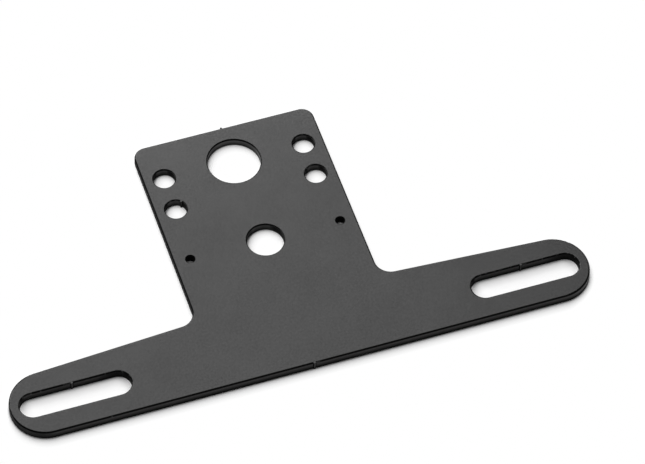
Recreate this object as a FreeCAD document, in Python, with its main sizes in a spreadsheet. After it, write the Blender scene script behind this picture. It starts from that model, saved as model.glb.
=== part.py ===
import FreeCAD, Part
import math
import os

import Sketcher

# One-piece licence plate bracket, cut from flat steel plate and coated.
# Two slotted arms carry the plate; the tab between them bolts to the tail.
# Frame: +X along the arms, +Y towards the tab's free end, +Z out of the top face.
# The origin is midway between the two slots, on the underside. Sizes in millimetres, angles in degrees.

SIZES = [
    ("thickness", 4.5, "plate with its coat, underside to top face"),
    ("edge_radius", 0.75, "rounding of the outer edge's and the slots' upper rims, where the coat wraps over"),
    ("underside_chamfer", 0.3, "broken lower rims of the outer edge and the slots"),
    ("hole_chamfer", 0.45, "deburred rims of the round holes, above and below"),
    ("slot_spacing", 207.05, "slot centre to slot centre"),
    ("slot_length", 50.1, "slot, end to end"),
    ("slot_width", 12.05, "slot, across"),
    ("tip_wall", 4.4, "from a slot's outer end to the arm's tip"),
    ("tip_radius", 15.9, "round end of an arm, which also sets the straight front edge"),
    ("arm_slope", 3.35, "fall of an arm's back edge towards its tip"),
    ("inner_radius", 7.3, "hollow corners between the tab and the arms"),
    ("corner_radius", 5.7, "tab's two outer corners"),
    ("side_margin", 9.5, "from a bolt hole's centre to the tab's side"),
    ("end_margin", 19.4, "from the upper row to the tab's end edge"),
    ("upper_row", 98.9, "from the slots' line to the large hole and the first pair of bolt holes"),
    ("cable_hole_diameter", 24.2, "large hole near the tab's end"),
    ("bolt_hole_diameter", 9.95, "four bolt holes in the tab"),
    ("bolt_spacing", 65.8, "bolt holes, side to side"),
    ("bolt_rows", 17.7, "first pair of bolt holes down to the second"),
    ("lamp_row", 53.2, "from the slots' line to the lead hole and the lamp's screw holes"),
    ("lead_hole_diameter", 16.75, "hole for the lamp's lead"),
    ("lamp_hole_diameter", 3.8, "lamp's two screw holes"),
    ("lamp_spacing", 70.0, "lamp's screw holes, side to side"),
    ("mark_radius", 0.5, "ridge left where a cut started and closed"),
    ("mark_proud", 0.4, "how far such a ridge stands out of its wall"),
    ("mark_angle", 45.0, "direction of the ridge in the second bolt hole on the left"),
]


def make_sheet(doc):
    """Puts every size in its own row of the sheet: name, value and meaning."""
    sheet = doc.addObject("Spreadsheet::Sheet", "Sizes")
    for row, (alias, value, meaning) in enumerate(SIZES, start=1):
        sheet.set(f"A{row}", alias)
        sheet.set(f"B{row}", str(value))
        sheet.set(f"C{row}", meaning)
        sheet.setAlias(f"B{row}", alias)
    doc.recompute()
    return sheet


def origin_plane(body, role):
    """Finds one of the body's own three base planes."""
    return next(item for item in body.Origin.OriginFeatures if item.Role == role)


def new_sketch(body, name):
    """Starts a sketch on the underside's plane."""
    sketch = body.newObject("Sketcher::SketchObject", name)
    sketch.AttachmentSupport = [(origin_plane(body, "XY_Plane"), "")]
    sketch.MapMode = "FlatFace"
    return sketch


def bind(sketch, name, expression, kind, *places):
    """Adds a named measure to the sketch and ties it to the sheet."""
    index = sketch.addConstraint(Sketcher.Constraint(kind, *places))
    sketch.renameConstraint(index, name)
    sketch.setExpression(f"Constraints.{name}", expression)


def arc(centre, radius, start_angle, end_angle):
    """Arc that runs anticlockwise between two angles in degrees."""
    circle = Part.Circle(centre, FreeCAD.Vector(0, 0, 1), radius)
    return Part.ArcOfCircle(circle, math.radians(start_angle), math.radians(end_angle))


# Heights closer than this are the same.
MATCH = 0.001

# A sketch counts an edge's points from one, and its own axes down from minus one.
START, END, CENTRE = range(1, 4)
X_AXIS, Y_AXIS = range(-1, -3, -1)
ORIGIN = (X_AXIS, START)


def outline_sketch(body, sheet):
    """Draws the whole edge of the plate: two arms with round tips and the tab, all tangent.

    Each arm's front edge is straight and shared. Its back edge leaves the tip's arc on a
    tangent, rises by arm_slope towards the middle and runs into the tab through a hollow arc.
    """
    tip = sheet.tip_radius
    slope = math.radians(sheet.arm_slope)
    tip_x = (sheet.slot_spacing + sheet.slot_length) / 2 + sheet.tip_wall - tip
    half = sheet.bolt_spacing / 2 + sheet.side_margin
    corner = sheet.corner_radius
    inner = sheet.inner_radius
    top = sheet.upper_row + sheet.end_margin

    inner_x = half + inner
    back_edge_y = (tip + tip_x * math.sin(slope) + inner - inner_x * math.sin(slope)) / math.cos(slope)
    run_out_x = inner_x - inner * math.sin(slope)
    run_out_y = back_edge_y - inner * math.cos(slope)
    leave_x = tip_x + tip * math.sin(slope)
    leave_y = tip * math.cos(slope)

    sketch = new_sketch(body, "plate_outline")
    point = FreeCAD.Vector
    line = Part.LineSegment
    angle = sheet.arm_slope
    shapes = [
        line(point(-tip_x, -tip), point(tip_x, -tip)),
        arc(point(tip_x, 0), tip, -90, 90 - angle),
        line(point(run_out_x, run_out_y), point(leave_x, leave_y)),
        arc(point(inner_x, back_edge_y), inner, 180, 270 - angle),
        line(point(half, back_edge_y), point(half, top - corner)),
        arc(point(half - corner, top - corner), corner, 0, 90),
        line(point(-half + corner, top), point(half - corner, top)),
        arc(point(-half + corner, top - corner), corner, 90, 180),
        line(point(-half, back_edge_y), point(-half, top - corner)),
        arc(point(-inner_x, back_edge_y), inner, 270 + angle, 360),
        line(point(-leave_x, leave_y), point(-run_out_x, run_out_y)),
        arc(point(-tip_x, 0), tip, 90 + angle, 270),
    ]
    sketch.addGeometry(shapes, False)
    (front, right_tip, right_arm, right_inner, right_side, right_corner,
     end_edge, left_corner, left_side, left_inner, left_arm, left_tip) = range(len(shapes))

    joints = [
        (front, END, right_tip, START),
        (right_tip, END, right_arm, END),
        (right_arm, START, right_inner, END),
        (right_inner, START, right_side, START),
        (right_side, END, right_corner, START),
        (right_corner, END, end_edge, END),
        (end_edge, START, left_corner, START),
        (left_corner, END, left_side, END),
        (left_side, START, left_inner, END),
        (left_inner, START, left_arm, END),
        (left_arm, START, left_tip, START),
        (left_tip, END, front, START),
    ]
    for joint in joints:
        sketch.addConstraint(Sketcher.Constraint("Tangent", *joint))

    sketch.addConstraint(Sketcher.Constraint("PointOnObject", right_tip, CENTRE, X_AXIS))
    sketch.addConstraint(Sketcher.Constraint("Symmetric", left_tip, CENTRE, right_tip, CENTRE, *ORIGIN))
    sketch.addConstraint(Sketcher.Constraint("Vertical", right_side))
    sketch.addConstraint(Sketcher.Constraint("Vertical", left_side))
    sketch.addConstraint(Sketcher.Constraint("Horizontal", end_edge))
    sketch.addConstraint(Sketcher.Constraint("Equal", right_tip, left_tip))
    sketch.addConstraint(Sketcher.Constraint("Equal", right_inner, left_inner))
    sketch.addConstraint(Sketcher.Constraint("Equal", right_corner, left_corner))

    tips_apart = "Sizes.slot_spacing + Sizes.slot_length + 2 * (Sizes.tip_wall - Sizes.tip_radius)"
    tab_side = "Sizes.bolt_spacing / 2 + Sizes.side_margin"
    tab_reach = "Sizes.upper_row + Sizes.end_margin"
    bind(sketch, "tips_apart", tips_apart, "DistanceX", left_tip, CENTRE, right_tip, CENTRE, 2 * tip_x)
    bind(sketch, "tip_radius", "Sizes.tip_radius", "Radius", right_tip, tip)
    bind(sketch, "right_arm_slope", "-Sizes.arm_slope", "Angle", right_arm, -slope)
    bind(sketch, "left_arm_slope", "Sizes.arm_slope", "Angle", left_arm, slope)
    bind(sketch, "inner_radius", "Sizes.inner_radius", "Radius", right_inner, inner)
    bind(sketch, "tab_right", tab_side, "DistanceX", *ORIGIN, right_side, END, half)
    bind(sketch, "tab_left", tab_side, "DistanceX", left_side, END, *ORIGIN, half)
    bind(sketch, "tab_reach", tab_reach, "DistanceY", *ORIGIN, end_edge, END, top)
    bind(sketch, "corner_radius", "Sizes.corner_radius", "Radius", right_corner, corner)
    return sketch


def slot_sketch(body, sheet):
    """Draws the right arm's slot: two parallel walls with half-round ends."""
    radius = sheet.slot_width / 2
    reach = (sheet.slot_length - sheet.slot_width) / 2
    middle = sheet.slot_spacing / 2
    near_x = middle - reach
    far_x = middle + reach

    sketch = new_sketch(body, "plate_slot")
    point = FreeCAD.Vector
    sketch.addGeometry([
        Part.LineSegment(point(near_x, -radius), point(far_x, -radius)),
        arc(point(far_x, 0), radius, -90, 90),
        Part.LineSegment(point(far_x, radius), point(near_x, radius)),
        arc(point(near_x, 0), radius, 90, 270),
    ], False)
    lower, far_end, upper, near_end = range(4)
    joints = [
        (lower, END, far_end, START),
        (far_end, END, upper, START),
        (upper, END, near_end, START),
        (near_end, END, lower, START),
    ]
    for joint in joints:
        sketch.addConstraint(Sketcher.Constraint("Tangent", *joint))
    sketch.addConstraint(Sketcher.Constraint("PointOnObject", far_end, CENTRE, X_AXIS))
    sketch.addConstraint(Sketcher.Constraint("PointOnObject", near_end, CENTRE, X_AXIS))
    sketch.addConstraint(Sketcher.Constraint("Equal", far_end, near_end))
    bind(sketch, "end_radius", "Sizes.slot_width / 2", "Radius", far_end, radius)
    bind(sketch, "near_end", "(Sizes.slot_spacing - Sizes.slot_length + Sizes.slot_width) / 2",
         "DistanceX", *ORIGIN, near_end, CENTRE, near_x)
    bind(sketch, "far_end", "(Sizes.slot_spacing + Sizes.slot_length - Sizes.slot_width) / 2",
         "DistanceX", *ORIGIN, far_end, CENTRE, far_x)
    return sketch


def add_circle(sketch, name, across, up, diameter):
    """Draws one circle from expressions of the sheet; with no distance across it sits on the centre line."""
    centre_x = float(sketch.evalExpression(across)) if across else 0.0
    centre_y = float(sketch.evalExpression(up))
    width = float(sketch.evalExpression(diameter))
    centre = FreeCAD.Vector(centre_x, centre_y, 0)
    circle = sketch.addGeometry(Part.Circle(centre, FreeCAD.Vector(0, 0, 1), width / 2), False)
    bind(sketch, f"{name}_diameter", diameter, "Diameter", circle, width)
    bind(sketch, f"{name}_up", up, "DistanceY", *ORIGIN, circle, CENTRE, centre_y)
    if across:
        bind(sketch, f"{name}_across", across, "DistanceX", *ORIGIN, circle, CENTRE, centre_x)
    else:
        sketch.addConstraint(Sketcher.Constraint("PointOnObject", circle, CENTRE, Y_AXIS))


def side_hole_sketch(body):
    """Draws the right half's bolt holes and its lamp screw hole."""
    sketch = new_sketch(body, "side_holes_outline")
    bolt_x = "Sizes.bolt_spacing / 2"
    bolt = "Sizes.bolt_hole_diameter"
    add_circle(sketch, "upper_bolt", bolt_x, "Sizes.upper_row", bolt)
    add_circle(sketch, "lower_bolt", bolt_x, "Sizes.upper_row - Sizes.bolt_rows", bolt)
    add_circle(sketch, "lamp_screw", "Sizes.lamp_spacing / 2", "Sizes.lamp_row", "Sizes.lamp_hole_diameter")
    return sketch


def middle_hole_sketch(body):
    """Draws the two larger holes on the centre line."""
    sketch = new_sketch(body, "middle_holes_outline")
    add_circle(sketch, "cable", None, "Sizes.upper_row", "Sizes.cable_hole_diameter")
    add_circle(sketch, "lead", None, "Sizes.lamp_row", "Sizes.lead_hole_diameter")
    return sketch


def mark_sketch(body):
    """Draws the small round ridges where the cuts along the edge, slots and one hole started.

    Each is a circle sunk in its wall so far that only mark_proud stands out.
    """
    sketch = new_sketch(body, "start_marks_outline")
    width = "2 * Sizes.mark_radius"
    sunk = "(Sizes.mark_radius - Sizes.mark_proud)"
    slot_x = "Sizes.slot_spacing / 2"
    slot_y = f"Sizes.slot_width / 2 + {sunk}"
    from_bolt = f"(Sizes.bolt_hole_diameter / 2 + {sunk})"
    bolt_x = f"-Sizes.bolt_spacing / 2 + {from_bolt} * cos(Sizes.mark_angle)"
    bolt_y = f"Sizes.upper_row - Sizes.bolt_rows + {from_bolt} * sin(Sizes.mark_angle)"
    add_circle(sketch, "front", None, f"-Sizes.tip_radius + {sunk}", width)
    add_circle(sketch, "end", None, f"Sizes.upper_row + Sizes.end_margin - {sunk}", width)
    add_circle(sketch, "right_slot", slot_x, slot_y, width)
    add_circle(sketch, "left_slot", f"-{slot_x}", slot_y, width)
    add_circle(sketch, "bolt_hole", bolt_x, bolt_y, width)
    return sketch


def add_plate(body, sketch, name):
    """Raises a sketch from the underside to the top face."""
    pad = body.newObject("PartDesign::Pad", name)
    pad.Profile = sketch
    pad.setExpression("Length", "Sizes.thickness")
    return pad


def cut_through(body, sketch, name):
    """Cuts a sketch upwards through the whole plate."""
    pocket = body.newObject("PartDesign::Pocket", name)
    pocket.Profile = sketch
    pocket.Type = "ThroughAll"
    pocket.Reversed = True
    return pocket


def mirror_left(body, pockets, name):
    """Repeats the right half's cuts on the left."""
    mirror = body.newObject("PartDesign::Mirrored", name)
    mirror.Originals = pockets
    mirror.MirrorPlane = (origin_plane(body, "YZ_Plane"), [""])
    body.Tip = mirror
    return mirror


def is_round_hole(edge):
    """Tells a round hole's rim from the rims of the outline and the slots."""
    return isinstance(edge.Curve, Part.Circle) and edge.isClosed()


def lies_at(edge, height):
    """Tells whether an edge lies flat at a height."""
    return abs(edge.BoundBox.ZMin - height) < MATCH and abs(edge.BoundBox.ZMax - height) < MATCH


def rim_names(shape, height, round_holes):
    """Names the rims at one height: those of the round holes, or all the others."""
    return [
        f"Edge{number}"
        for number, edge in enumerate(shape.Edges, start=1)
        if lies_at(edge, height) and is_round_hole(edge) == round_holes
    ]


def break_rims(body, base, names, size, name):
    """Cuts a small slope along the named rims."""
    chamfer = body.newObject("PartDesign::Chamfer", name)
    chamfer.Base = (base, names)
    chamfer.setExpression("Size", size)
    return chamfer


def round_rims(body, base, names, radius, name):
    """Rounds the named rims."""
    fillet = body.newObject("PartDesign::Fillet", name)
    fillet.Base = (base, names)
    fillet.setExpression("Radius", radius)
    return fillet


def check_document(doc):
    """Stops at any object that failed to build."""
    for item in doc.Objects:
        broken = {"Invalid", "Error"} & set(item.State)
        if broken:
            raise RuntimeError(f"{item.Name} did not build: {sorted(broken)}")


def check_cut(before, after, name):
    """Stops where a cut took nothing away."""
    if after.Shape.Volume > before.Shape.Volume - 1:
        raise RuntimeError(f"{name} removed nothing")


def make_bracket(doc, sheet):
    """Builds the plate: outline, openings, broken rims and the cut's start marks."""
    body = doc.addObject("PartDesign::Body", "bracket_plate")
    body.Label = "bracket_plate"

    plate = add_plate(body, outline_sketch(body, sheet), "plate")
    middle_holes = cut_through(body, middle_hole_sketch(body), "middle_holes")
    slot = cut_through(body, slot_sketch(body, sheet), "right_slot")
    side_holes = cut_through(body, side_hole_sketch(body), "right_holes")
    openings = mirror_left(body, [slot, side_holes], "left_openings")
    doc.recompute()
    check_document(doc)
    check_cut(plate, middle_holes, "middle_holes")
    check_cut(middle_holes, slot, "right_slot")
    check_cut(slot, side_holes, "right_holes")
    check_cut(side_holes, openings, "left_openings")

    hole_rims = rim_names(openings.Shape, 0, True) + rim_names(openings.Shape, sheet.thickness, True)
    holes = break_rims(body, openings, hole_rims, "Sizes.hole_chamfer", "deburred_holes")
    doc.recompute()
    check_document(doc)
    check_cut(openings, holes, "deburred_holes")

    lower_rims = rim_names(holes.Shape, 0, False)
    lower = break_rims(body, holes, lower_rims, "Sizes.underside_chamfer", "broken_lower_rims")
    doc.recompute()
    check_document(doc)
    check_cut(holes, lower, "broken_lower_rims")

    upper_rims = rim_names(lower.Shape, sheet.thickness, False)
    upper = round_rims(body, lower, upper_rims, "Sizes.edge_radius", "rounded_upper_rims")
    doc.recompute()
    check_document(doc)
    check_cut(lower, upper, "rounded_upper_rims")

    body.Tip = add_plate(body, mark_sketch(body), "start_marks")
    doc.recompute()
    check_document(doc)
    return body


def export(body):
    """Writes the finished solid to a file named after it."""
    shape = body.Shape
    if shape.isNull() or not shape.isValid() or len(shape.Solids) != 1:
        raise RuntimeError(f"{body.Label} is not one valid solid")
    os.makedirs("parts", exist_ok=True)
    shape.exportStep(f"parts/{body.Label}.step")
    box = shape.optimalBoundingBox()
    print(f"{body.Label}: {shape.Volume:.1f} mm3, {len(shape.Faces)} faces")
    print(f"x {box.XMin:.3f} to {box.XMax:.3f}, y {box.YMin:.3f} to {box.YMax:.3f}, "
          f"z {box.ZMin:.3f} to {box.ZMax:.3f}")


def main():
    doc = FreeCAD.newDocument("licence_plate_bracket")
    sheet = make_sheet(doc)
    export(make_bracket(doc, sheet))


main()
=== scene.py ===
"""Licence plate bracket in black powder coat, lying on a white table under a large soft light."""

import math

import bpy
from mathutils import Matrix, Vector

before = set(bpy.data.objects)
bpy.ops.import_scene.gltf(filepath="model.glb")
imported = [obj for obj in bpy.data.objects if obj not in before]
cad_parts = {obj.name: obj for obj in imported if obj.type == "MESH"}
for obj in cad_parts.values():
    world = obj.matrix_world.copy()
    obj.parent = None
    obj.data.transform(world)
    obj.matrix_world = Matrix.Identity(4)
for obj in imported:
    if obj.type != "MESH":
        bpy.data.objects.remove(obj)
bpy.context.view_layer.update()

# Camera: a long lens, well back, seen from the front left and above. Metres and degrees.
CAMERA_PLACE = Vector((-0.3415, -0.9376, 1.4639))
CAMERA_AIM = Vector((0.0254, 0.0493, 0.0047))
CAMERA_ROLL = 2.286
CAMERA_CLIP = 0.05
LENS_MM = 225.8
SENSOR_MM = 36.0

# Light: a wide softbox over the back, whose mirror image makes the black top face look grey,
# and a brighter one low behind it, which lifts the tab's end. Degrees right of the back, and up.
SOFTBOX_AIM = Vector((0.0, 0.05, 0.0))
SOFTBOX_DISTANCE = 0.95
HIGH_TOWARDS = (-12.0, 74.0)
HIGH_SIZE = (1.10, 0.93)
HIGH_RADIANCE = 2.30
LOW_TOWARDS = (-7.0, 32.0)
LOW_SIZE = (1.10, 0.52)
LOW_RADIANCE = 5.8

BLACK = (0.0, 0.0, 0.0, 1.0)
WHITE = (1.0, 1.0, 1.0, 1.0)

# Sky: dark overhead and in front, so the rims draw a black line; paler behind and, to the eye, low down.
# The ranges are of a direction's share towards the back, and upwards.
SKY_HIGH = 0.03
SKY_BACK = 0.50
SKY_LOW = 0.55
BACK_RANGE = (0.60, 1.00)
LOW_RANGE = (0.50, 0.80)

# Coat: the satin of the faces and the dull black of cut walls, also put on the broken rims as painted
# shade.
SATIN_BLACK = (0.004, 0.004, 0.004, 1.0)
SATIN_ROUGHNESS = 0.25
SATIN_IOR = 1.475
DULL_BLACK = (0.003, 0.003, 0.003, 1.0)
DULL_ROUGHNESS = 0.6
DULL_IOR = 1.08

# Coat: a fine peel in relief and broad clouds of roughness.
PEEL_SIZE = 0.0011
PEEL_DETAIL = 1.0
PEEL_STRENGTH = 0.25
PEEL_DEPTH = 0.00005
CLOUD_SIZE = 0.030
CLOUD_DETAIL = 3.0
CLOUD_MIDDLE = 0.5
CLOUD_ROUGHNESS = 0.04

# Coat: how dull it is in each place, from 0 for satin to 1 for dead black; the rim, foot, left, right, slot
# end and tip values are painted shade.
FACE_DULL = 0.12
WALL_DULL = 0.46
HOLE_DULL = 0.58
PAINTED_RIM_SHADE = 0.95
PAINTED_FOOT_SHADE = 0.95
PAINTED_LEFT_SHADE = 0.75
PAINTED_SLOT_END_SHADE = 0.92
CABLE_HOLE_SHINE = 0.60
PAINTED_CABLE_HOLE_RIGHT_SHADE = 0.62
PAINTED_LEAD_HOLE_RIGHT_SHADE = 0.90
PAINTED_TIP_SHADE = 0.80
PAINTED_TIP_LEFT_SHADE = 0.10

# Coat: the mottle of the faces: layers of noise, each a size in metres and a strength, and their middle.
MOTTLE = 0.15
MOTTLE_LAYERS = ((0.0250, 0.80), (0.0090, 0.50), (0.0040, 0.40), (0.0018, 0.35), (0.0009, 2.80))
MOTTLE_MIDDLE = 2.43

# Coat: how far round a wall has to turn before it counts as facing that way.
LEFT_TURN = (0.15, 0.75)
RIGHT_TURN = (0.10, 0.60)
BACK_TURN = (0.05, 0.30)
TIP_TURN = (0.70, 0.95)
PALE_RIM_TURN = (0.62, 0.70)

# Coat: heights between which it changes, at the foot of a wall, on the left walls and up the rims.
PLATE_TOP = 0.00450
FOOT_RISE = (0.00040, 0.00320)
LEFT_RISE = (0.00100, 0.00200)
RIM_RISE = (0.00335, 0.00390)
PALE_RIM_RISE = (0.00390, 0.00410)
RIM_END = 0.00444
RIM_SAG = 0.00055

# Holes of the plate: places across from its middle, and a slot's wall and rows along from the slots.
SLOT_PLACE = 0.10353
SLOT_WALL = 0.0060
BOLT_PLACE = 0.0329
FRONT_BOLT_ROW = 0.0812
BACK_BOLT_ROW = 0.0989
CABLE_HOLE_ROW = 0.0989
SCREW_PLACE = 0.0350
SCREW_ROW = 0.0532

# Boxes that take in a hole and its rims: middle across and along, half size across and along.
SLOT_BOX = (SLOT_PLACE, 0.0, 0.0262, 0.0069)
BOLT_BOX = (BOLT_PLACE, 0.0900, 0.0058, 0.0150)
SCREW_BOX = (SCREW_PLACE, SCREW_ROW, 0.0026, 0.0026)
CABLE_BOX = (0.0, CABLE_HOLE_ROW, 0.0135, 0.0135)
LEAD_BOX = (0.0, SCREW_ROW, 0.0095, 0.0095)
SOFT_END = 1.15

# Ranges across: the plate's left half turning into its right, its left tip, and a slot's right end.
MIDDLE_RANGE = (-0.010, 0.010)
LEFT_TIP_RANGE = (-0.1240, -0.1150)
RIGHT_END_RANGE = (0.0, 0.0190)

# Start marks of the cutter: place across and along, and the side on which the rim sags, 1 for right.
# A mark is a painted highlight on its crest between two flanks of painted shade; the ranges are distances
# across from its place.
FRONT_WALL = -0.0159
MARKS = ((-SLOT_PLACE, SLOT_WALL, -1.0), (0.0, FRONT_WALL, 1.0), (SLOT_PLACE, SLOT_WALL, 1.0))
MARK_DEPTH = 0.0014
CREST_RANGE = (0.0001, 0.0003)
PAINTED_CREST_HIGHLIGHT = 0.45
FLANK_START = (0.0002, 0.0004)
FLANK_END = (0.0007, 0.0010)
PAINTED_FLANK_SHADE = 0.95
SAG_START = (0.0003, 0.0007)
SAG_END = (0.0020, 0.0034)

# Nicks that break the rims' black line: place across and along, half width and strength.
NICKS = (
    (-0.1175, SLOT_WALL, 0.0003, 0.70),
    (-0.0919, FRONT_WALL, 0.0003, 0.70),
    (-0.1243, 0.0057, 0.0018, 0.25),
)

# Chips that make the rims of slots and bolt holes ragged: size, noise level to start from, and depth.
CHIP_SIZE = 0.0014
CHIP_DETAIL = 2.0
CHIP_START = 0.53
CHIP_DEPTH = 0.004

# Table: white to the eye, and still a little darker where the plate shades it; next to its walls with
# painted contact shadow, and further off a painted glow clears it to white.
TABLE_SIZE = 60.0
TABLE_WHITE = 0.90
TABLE_SEEN = 1.10
SHADE_REACH = 0.0048
SHADE_POWER = 0.75
CONTACT_REACH = 0.0008
CONTACT_SHADE = 0.42

# Foot of the plate's walls, where the table's shade begins. A round hole has its place across and
# along and its radius; the holes are a little wider there than in the plate, and shifted right.
TIP_PLACE = 0.1169
TIP_RADIUS = 0.0161
TAB_SIDE = 0.0424
TAB_END = 0.1184
TAB_CORNER = 0.0057
SLOT_FOOT_PLACE = 0.1035
SLOT_FOOT_RADIUS = 0.0060
SLOT_STRAIGHT = 0.0190
ROUND_HOLES = (
    (0.0, CABLE_HOLE_ROW, 0.0126),
    (0.0, SCREW_ROW, 0.0086),
    (BOLT_PLACE, BACK_BOLT_ROW, 0.0051),
    (BOLT_PLACE, FRONT_BOLT_ROW, 0.0051),
)
HOLE_SHIFT = 0.00070

# Where the table's shade is thinner or reaches further: ranges along the tab's sides and in the slots.
TAB_SIDE_START = (0.010, 0.020)
SLOT_SHRINK = 0.50
SLOT_END_LIFT = 0.00100
SLOT_END_POWER = 4.0
SLOT_LEFT_RANGE = (-0.025, -0.012)
SLOT_FRONT_RANGE = (-0.001, 0.004)
WALL_EDGE = 0.0001


class Graph:
    """A node tree that is filled from code."""

    def __init__(self, owner):
        owner.use_nodes = True
        self.tree = owner.node_tree
        self.tree.nodes.clear()

    def add(self, kind, settings=None, **inputs):
        """Adds one node: its settings first, then a value or a link for each named socket."""
        node = self.tree.nodes.new(kind)
        for name, value in (settings or {}).items():
            setattr(node, name, value)
        for name, value in inputs.items():
            self.feed(node.inputs[name.replace("_", " ")], value)
        return node

    def feed(self, socket, value):
        """Links a socket, or gives it a plain value."""
        if isinstance(value, Value):
            value = value.socket
        if isinstance(value, bpy.types.NodeSocket):
            self.tree.links.new(value, socket)
        else:
            socket.default_value = value

    def value(self, socket):
        return Value(self, socket)

    def mix(self, share, first, second):
        """Mixes two shaders, by the share of the second one."""
        node = self.add("ShaderNodeMixShader", Fac=share)
        self.feed(node.inputs[1], first.outputs[0])
        self.feed(node.inputs[2], second.outputs[0])
        return node


class Value:
    """A number that varies over a surface; sums and products with it become nodes."""

    def __init__(self, graph, socket):
        self.graph = graph
        self.socket = socket

    def _math(self, operation, *terms):
        node = self.graph.add("ShaderNodeMath", {"operation": operation})
        for place, term in enumerate(terms):
            self.graph.feed(node.inputs[place], term)
        return Value(self.graph, node.outputs[0])

    def __add__(self, other):
        return self._math("ADD", self, other)

    def __radd__(self, other):
        return self._math("ADD", other, self)

    def __sub__(self, other):
        return self._math("SUBTRACT", self, other)

    def __rsub__(self, other):
        return self._math("SUBTRACT", other, self)

    def __mul__(self, other):
        return self._math("MULTIPLY", self, other)

    def __rmul__(self, other):
        return self._math("MULTIPLY", other, self)

    def __pow__(self, other):
        return self._math("POWER", self, other)

    def __rpow__(self, other):
        return self._math("POWER", other, self)

    def __abs__(self):
        return self._math("ABSOLUTE", self)

    def least(self, other):
        return self._math("MINIMUM", self, other)

    def most(self, other):
        return self._math("MAXIMUM", self, other)

    def hypotenuse(self, other):
        return self._math("SQRT", self * self + other * other)

    def blend(self, other, share):
        """Goes from this value to another one as the share goes from 0 to 1."""
        return self + (other - self) * share

    def ramp(self, low, high, kind="LINEAR"):
        """Rises from 0 at low to 1 at high."""
        node = self.graph.add("ShaderNodeMapRange", {"interpolation_type": kind})
        for name, value in (("Value", self), ("From Min", low), ("From Max", high)):
            self.graph.feed(node.inputs[name], value)
        return Value(self.graph, node.outputs["Result"])

    def smooth(self, low, high):
        """Rises from 0 at low to 1 at high, with soft ends."""
        return self.ramp(low, high, "SMOOTHSTEP")


def split(graph, vector):
    """The three parts of a vector, as values."""
    parts = graph.add("ShaderNodeSeparateXYZ", Vector=vector)
    return tuple(graph.value(parts.outputs[axis]) for axis in "XYZ")


def near(value, middle, reach):
    """1 where a value lies within reach of the middle, with a short soft end."""
    return 1.0 - abs(value - middle).smooth(reach, SOFT_END * reach)


class Spot:
    """A point of a surface: how far across the plate, along it and up it lies, in metres."""

    def __init__(self, graph):
        self.graph = graph
        self.place = graph.add("ShaderNodeTexCoord").outputs["Object"]
        self.sideways, self.along, self.height = split(graph, self.place)
        self.across = abs(self.sideways)

    def past_slot(self):
        """Distance to the right of the middle of the slot on the same half of the plate."""
        side = 2.0 * self.sideways.smooth(*MIDDLE_RANGE) - 1.0
        return (self.across - SLOT_PLACE) * side

    def noise(self, size, detail=0.0):
        """Cloudy pattern between 0 and 1 whose features are about size metres across."""
        node = self.graph.add("ShaderNodeTexNoise", {"noise_dimensions": "3D"},
                              Vector=self.place, Scale=1.0 / size, Detail=detail)
        return self.graph.value(node.outputs["Fac"])


class CoatSpot(Spot):
    """A point of the coat: also the way it faces, and the hole, rim or tip that it lies on."""

    def __init__(self, graph):
        super().__init__(graph)
        normal = graph.add("ShaderNodeNewGeometry").outputs["Normal"]
        self.rightward, self.backward, _ = split(graph, normal)
        self.leftward = 0.0 - self.rightward

        self.in_slot = self.within(*SLOT_BOX)
        self.in_bolt_hole = self.within(*BOLT_BOX)
        self.in_screw_hole = self.within(*SCREW_BOX)
        self.in_cable_hole = self.within(*CABLE_BOX)
        self.in_lead_hole = self.within(*LEAD_BOX)
        self.ragged = self.in_slot.most(self.in_bolt_hole)

        self.on_rim = self.height.smooth(*RIM_RISE)
        self.on_left_tip = (1.0 - self.sideways.smooth(*LEFT_TIP_RANGE)) * (1.0 - self.in_slot)

    def within(self, place, row, half_across, half_along):
        """1 inside a box on either half of the plate, and 0 elsewhere."""
        return near(self.across, place, half_across) * near(self.along, row, half_along)


def wall_dullness(spot):
    """Dullness of the cut walls by their hole, with painted shade by the way they face, at the slots' right
    ends, towards the foot and on the left tip.
    """
    muted = 1.0 - CABLE_HOLE_SHINE * spot.in_cable_hole
    wall = (WALL_DULL * muted).most(HOLE_DULL * spot.ragged.most(spot.in_lead_hole))

    # Painted shade: walls that face left go dull black, fully so above their lowest part.
    left = PAINTED_LEFT_SHADE + (1.0 - PAINTED_LEFT_SHADE) * spot.height.smooth(*LEFT_RISE)
    wall = wall.most(left * spot.leftward.smooth(*LEFT_TURN) * muted)

    # Painted shade: walls that face right go dull, in slots and bolt holes, the cable hole and the lead
    # hole.
    right = spot.ragged.most(PAINTED_CABLE_HOLE_RIGHT_SHADE * spot.in_cable_hole)
    right = right.most(PAINTED_LEAD_HOLE_RIGHT_SHADE * spot.in_lead_hole)
    wall = wall.most(right * spot.rightward.smooth(*RIGHT_TURN))

    # Painted shade: the slots' right ends go near dead black.
    right_end = spot.past_slot().smooth(*RIGHT_END_RANGE) * spot.in_slot
    wall = wall.most(PAINTED_SLOT_END_SHADE * right_end)

    # Painted shade: the walls go near dead black towards their foot, where they meet the table.
    wall = wall.blend(PAINTED_FOOT_SHADE, 1.0 - spot.height.ramp(*FOOT_RISE))
    # Painted shade: the left tip's walls go dull, a little more where they face left.
    tip = PAINTED_TIP_SHADE + PAINTED_TIP_LEFT_SHADE * spot.leftward.smooth(*TIP_TURN)
    return wall.blend(tip, spot.on_left_tip)


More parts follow.
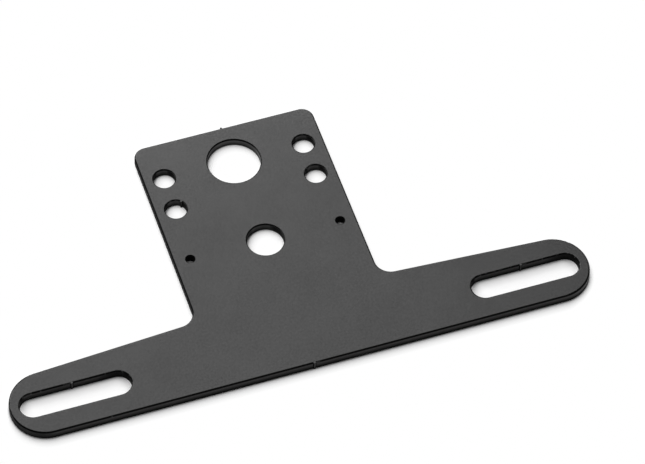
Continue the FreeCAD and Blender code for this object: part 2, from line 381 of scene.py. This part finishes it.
def with_rims(spot, wall):
    """Adds painted shade as near black rims and dead black screw holes, and a painted highlight where a
    round hole's rim faces left.
    """
    # Painted shade: the rims go near dead black, fully on the left tip, deepening the black line they draw
    # by mirroring the dark sky.
    rim = (PAINTED_RIM_SHADE + (1.0 - PAINTED_RIM_SHADE) * spot.on_left_tip) * spot.on_rim
    in_round_hole = spot.in_bolt_hole.most(spot.in_cable_hole).most(spot.in_lead_hole)
    # Painted highlight: the upper rim of a round hole is made less dull where it faces left.
    painted_rim_highlight = spot.leftward.smooth(*PALE_RIM_TURN) * in_round_hole * spot.height.smooth(*PALE_RIM_RISE)
    # Painted shade: a small box round each screw hole goes dead black.
    return (wall.most(rim) * (1.0 - painted_rim_highlight)).most(spot.in_screw_hole)


def with_marks(spot, wall):
    """Adds the cutter's start marks, a painted highlight on the crest between flanks of painted shade, and
    the nicks; also gives the places where the rim sags.
    """
    sag = 0.0
    for place, row, side in MARKS:
        close = near(spot.along, row, MARK_DEPTH)
        past = side * (spot.sideways - place)
        beside = abs(past)
        crest = (1.0 - beside.smooth(*CREST_RANGE)) * close
        flank = beside.smooth(*FLANK_START) * (1.0 - beside.smooth(*FLANK_END)) * close
        # Painted shade on the flanks and a painted highlight on the crest.
        wall = wall.most(PAINTED_FLANK_SHADE * flank) * (1.0 - PAINTED_CREST_HIGHLIGHT * crest)
        sag = sag + past.smooth(*SAG_START) * (1.0 - past.smooth(*SAG_END)) * close

    for place, row, reach, strength in NICKS:
        nick = near(spot.sideways, place, reach) * near(spot.along, row, MARK_DEPTH)
        wall = wall * (1.0 - strength * nick * spot.on_rim)
    return wall, sag


def face_dullness(spot):
    """Dullness of the flat faces: slight, with a fine mottle."""
    mottle = 0.0
    for size, strength in MOTTLE_LAYERS:
        mottle = mottle + strength * spot.noise(size)
    return FACE_DULL + MOTTLE * (mottle - MOTTLE_MIDDLE)


def dullness(spot):
    """How dull the coat is: little on the faces, more on the cut walls, and most at their foot and rims as
    painted shade.
    """
    wall, sag = with_marks(spot, with_rims(spot, wall_dullness(spot)))
    chips = (spot.noise(CHIP_SIZE, CHIP_DETAIL) - CHIP_START).most(0.0) * spot.ragged
    level = spot.height + CHIP_DEPTH * chips + RIM_SAG * sag
    wall = wall * (1.0 - level.smooth(RIM_END, PLATE_TOP))
    # Painted shade: rims that face back go near dead black as well.
    wall = wall.most(PAINTED_RIM_SHADE * spot.backward.smooth(*BACK_TURN) * spot.on_rim)
    return wall.most(face_dullness(spot))


def powder_coat():
    """Black powder coat: satin and finely mottled on the faces, dull on the cut walls."""
    material = bpy.data.materials.new("black_powder_coat")
    graph = Graph(material)
    spot = CoatSpot(graph)
    peel = spot.noise(PEEL_SIZE, PEEL_DETAIL)
    bump = graph.add("ShaderNodeBump", Strength=PEEL_STRENGTH, Distance=PEEL_DEPTH, Height=peel)
    clouds = spot.noise(CLOUD_SIZE, CLOUD_DETAIL) - CLOUD_MIDDLE

    satin = graph.add("ShaderNodeBsdfPrincipled",
                      Base_Color=SATIN_BLACK,
                      Roughness=SATIN_ROUGHNESS + CLOUD_ROUGHNESS * clouds,
                      IOR=SATIN_IOR,
                      Normal=bump.outputs["Normal"])
    dull = graph.add("ShaderNodeBsdfPrincipled",
                     Base_Color=DULL_BLACK,
                     Roughness=DULL_ROUGHNESS,
                     IOR=DULL_IOR,
                     Normal=bump.outputs["Normal"])
    coat = graph.mix(dullness(spot), satin, dull)
    graph.add("ShaderNodeOutputMaterial", Surface=coat.outputs[0])
    return material


def seen_white(graph):
    """1 for what the camera sees directly, in gloss or through glass, and 0 for light that bounces."""
    rays = graph.add("ShaderNodeLightPath")
    names = ("Is Camera Ray", "Is Glossy Ray", "Is Transmission Ray")
    camera, gloss, through = (graph.value(rays.outputs[name]) for name in names)
    return camera + gloss + through


def off_outline(spot, past_side):
    """Distance outside the arms and the tab, up to doubled past the right tip and beside the tab."""
    past_tip = (spot.across - TIP_PLACE).most(0.0)
    off_arms = past_tip.hypotenuse(spot.along) - TIP_RADIUS
    off_arms = off_arms * (1.0 + 1.0 / TIP_RADIUS * past_tip * spot.sideways.smooth(*MIDDLE_RANGE))

    half_tab = TAB_END / 2
    past_end = (abs(spot.along - half_tab) - (half_tab - TAB_CORNER)).most(0.0)
    off_tab = past_side.hypotenuse(past_end) - TAB_CORNER
    off_tab = off_tab * (1.0 + 1.0 / TAB_CORNER * past_side.least(TAB_CORNER))
    return off_arms.least(off_tab)


def inside_slots(spot):
    """Distance from a slot's wall, shrunk along its sides and lifted at its ends, and where those are."""
    past_straight = (abs(spot.across - SLOT_FOOT_PLACE) - SLOT_STRAIGHT).most(0.0)
    off_wall = SLOT_FOOT_RADIUS - past_straight.hypotenuse(spot.along)
    roundness = (1.0 / SLOT_FOOT_RADIUS * past_straight).least(1.0)
    slot_end = roundness * off_wall.ramp(-WALL_EDGE, 0.0)
    away = SLOT_SHRINK * off_wall * (1.0 - roundness) + SLOT_END_LIFT * slot_end ** SLOT_END_POWER

    left_front = 1.0 - spot.past_slot().smooth(*SLOT_LEFT_RANGE)
    left_front = left_front * (1.0 - spot.along.smooth(*SLOT_FRONT_RANGE))
    return away * (1.0 + left_front), slot_end


def away_from_walls(graph):
    """Distance on the table from the nearest wall of the plate, in metres, and where its shade is thin.

    The distance is stretched where the shade is short and shrunk where it reaches far.
    """
    spot = Spot(graph)
    past_side = (spot.across - (TAB_SIDE - TAB_CORNER)).most(0.0)
    slot_away, slot_end = inside_slots(spot)
    away = off_outline(spot, past_side).most(slot_away)

    beside = abs(spot.sideways - HOLE_SHIFT)
    for place, row, radius in ROUND_HOLES:
        away = away.most(radius - (beside - place).hypotenuse(spot.along - row))

    tab_side = 1.0 / TAB_CORNER * past_side.least(TAB_CORNER) * spot.along.smooth(*TAB_SIDE_START)
    return away, slot_end.most(tab_side)


def table_white():
    """White table top: matt, lifted a little for the eye, with a painted glow that clears it to white away
    from the plate and sets how far its shadow reaches.
    """
    material = bpy.data.materials.new("table_white")
    graph = Graph(material)
    seen = seen_white(graph)
    away, thin = away_from_walls(graph)
    # Painted contact shadow: the table's colour darkens right next to the plate's walls, except where the
    # shade is thin.
    contact = (1.0 - away.smooth(0.0, CONTACT_REACH)) * (1.0 - thin)
    level = TABLE_WHITE + (TABLE_SEEN - TABLE_WHITE) * seen
    level = level * (1.0 - CONTACT_SHADE * contact)
    colour = graph.add("ShaderNodeCombineColor", Red=level, Green=level, Blue=level)
    matt = graph.add("ShaderNodeBsdfPrincipled",
                     Base_Color=colour.outputs[0],
                     Roughness=1.0,
                     Specular_IOR_Level=0.0)
    glow = graph.add("ShaderNodeEmission", Color=WHITE, Strength=1.0)
    # Painted light: the table glows white to the eye and in gloss by its distance from the walls, so the
    # shadow's reach and fade are painted.
    lift = away.ramp(0.0, SHADE_REACH) ** SHADE_POWER
    top = graph.mix(lift * seen, matt, glow)
    graph.add("ShaderNodeOutputMaterial", Surface=top.outputs[0])
    return material


def place_camera():
    """Sets the camera where the photograph was taken from."""
    data = bpy.data.cameras.new("camera")
    data.lens = LENS_MM
    data.sensor_width = SENSOR_MM
    data.clip_start = CAMERA_CLIP
    camera = bpy.data.objects.new("camera", data)
    look = (CAMERA_AIM - CAMERA_PLACE).to_track_quat("-Z", "Y").to_matrix().to_4x4()
    roll = Matrix.Rotation(math.radians(CAMERA_ROLL), 4, "Z")
    camera.matrix_world = Matrix.Translation(CAMERA_PLACE) @ look @ roll
    bpy.context.scene.collection.objects.link(camera)
    bpy.context.scene.camera = camera


def place_softbox(name, angles, size, radiance):
    """Hangs a soft rectangular light that faces the plate; angles are degrees right of the back, and up."""
    side, up = (math.radians(angle) for angle in angles)
    towards = Vector((math.sin(side) * math.cos(up), math.cos(side) * math.cos(up), math.sin(up)))
    width, height = size
    data = bpy.data.lights.new(name, "AREA")
    data.shape = "RECTANGLE"
    data.size = width
    data.size_y = height
    data.energy = radiance * math.pi * width * height
    light = bpy.data.objects.new(name, data)
    light.location = SOFTBOX_AIM + towards.normalized() * SOFTBOX_DISTANCE
    light.rotation_euler = (-towards).to_track_quat("-Z", "Y").to_euler()
    bpy.context.scene.collection.objects.link(light)


def lay_table():
    """Lays the white table top under the plate."""
    half = TABLE_SIZE / 2
    mesh = bpy.data.meshes.new("table")
    corners = [(-half, -half, 0.0), (half, -half, 0.0), (half, half, 0.0), (-half, half, 0.0)]
    mesh.from_pydata(corners, [], [(0, 1, 2, 3)])
    mesh.materials.append(table_white())
    table = bpy.data.objects.new("table", mesh)
    bpy.context.scene.collection.objects.link(table)


def light_sky():
    """Dim light from behind, and a paler band low down that only the eye and gloss see."""
    world = bpy.data.worlds.new("sky")
    graph = Graph(world)
    direction = graph.add("ShaderNodeTexCoord").outputs["Generated"]
    _, backward, upward = split(graph, direction)
    high = SKY_HIGH + (SKY_BACK - SKY_HIGH) * backward.smooth(*BACK_RANGE)
    low = SKY_LOW * (1.0 - upward.smooth(*LOW_RANGE)) * seen_white(graph)
    dark = graph.add("ShaderNodeBackground", Color=BLACK)
    painted_rim_highlight = graph.add("ShaderNodeBackground", Color=WHITE)
    sky = graph.mix(high.most(low), dark, painted_rim_highlight)
    graph.add("ShaderNodeOutputWorld", Surface=sky.outputs[0])
    bpy.context.scene.world = world


def dress_plate():
    """Gives the plate its coat."""
    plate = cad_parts["bracket_plate"]
    coat = powder_coat()
    for slot in plate.material_slots:
        slot.material = coat


bpy.context.scene.view_settings.view_transform = "Standard"
place_camera()
lay_table()
light_sky()
place_softbox("softbox_high", HIGH_TOWARDS, HIGH_SIZE, HIGH_RADIANCE)
place_softbox("softbox_low", LOW_TOWARDS, LOW_SIZE, LOW_RADIANCE)
dress_plate()
